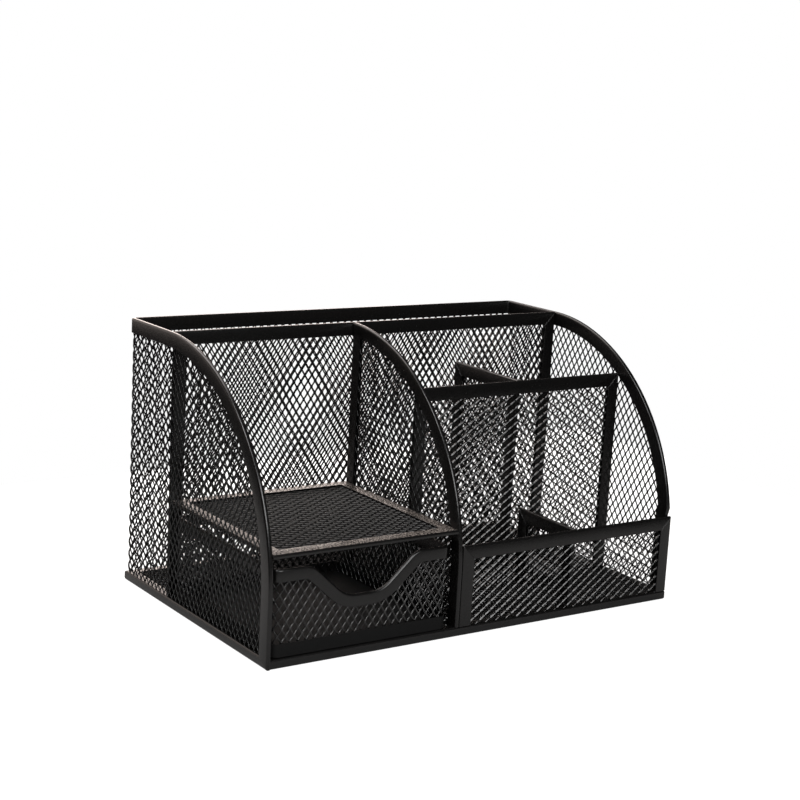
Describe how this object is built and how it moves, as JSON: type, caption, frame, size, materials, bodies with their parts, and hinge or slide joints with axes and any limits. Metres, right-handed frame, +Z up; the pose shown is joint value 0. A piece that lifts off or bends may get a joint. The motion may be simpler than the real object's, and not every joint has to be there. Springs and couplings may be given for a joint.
{
  "type": "pen stand with drawer",
  "caption": "Steel mesh pen stand with a letter slot, pen compartments, a shelf and a sliding drawer with a finger notch.",
  "frame": {"origin": "on the table under the middle of the base", "axes": "+Z up, -Y to the front, +X along the back to the right as seen from the front"},
  "size_m": [0.2216, 0.1366, 0.125],
  "materials": {
    "mesh": "black powder coat on expanded steel mesh",
    "edging": "black powder coat on folded steel strip, fine grain",
    "sheet": "black powder coat on solid steel sheet, smooth"
  },
  "bodies": {
    "stand": {"base_rim": "edging", "floor_mesh": "mesh", "left_side_mesh": "mesh", "left_side_rim": "edging", "right_side_mesh": "mesh", "right_side_rim": "edging", "back_mesh": "mesh", "back_rim": "edging", "slot_divider_mesh": "mesh", "slot_divider_rim": "edging", "centre_divider_mesh": "mesh", "centre_divider_rim": "edging", "pen_divider_mesh": "mesh", "pen_divider_rim": "edging", "pen_cross_divider_mesh": "mesh", "pen_cross_divider_rim": "edging", "front_panel_mesh": "mesh", "front_panel_rim": "edging", "low_cross_divider_mesh": "mesh", "low_cross_divider_rim": "edging", "shelf_mesh": "mesh", "shelf_rim": "edging"},
    "drawer": {"drawer_tray": "sheet", "drawer_front_mesh": "mesh", "drawer_front_band": "edging", "drawer_left_mesh": "mesh", "drawer_left_rim": "edging", "drawer_right_mesh": "mesh", "drawer_right_rim": "edging", "drawer_back_mesh": "mesh", "drawer_back_rim": "edging"}
  },
  "joints": [
    {"name": "drawer_slide", "type": "slide", "parent": "stand", "child": "drawer", "axis": [0, -1, 0], "range_m": [0, 0.08]}
  ]
}
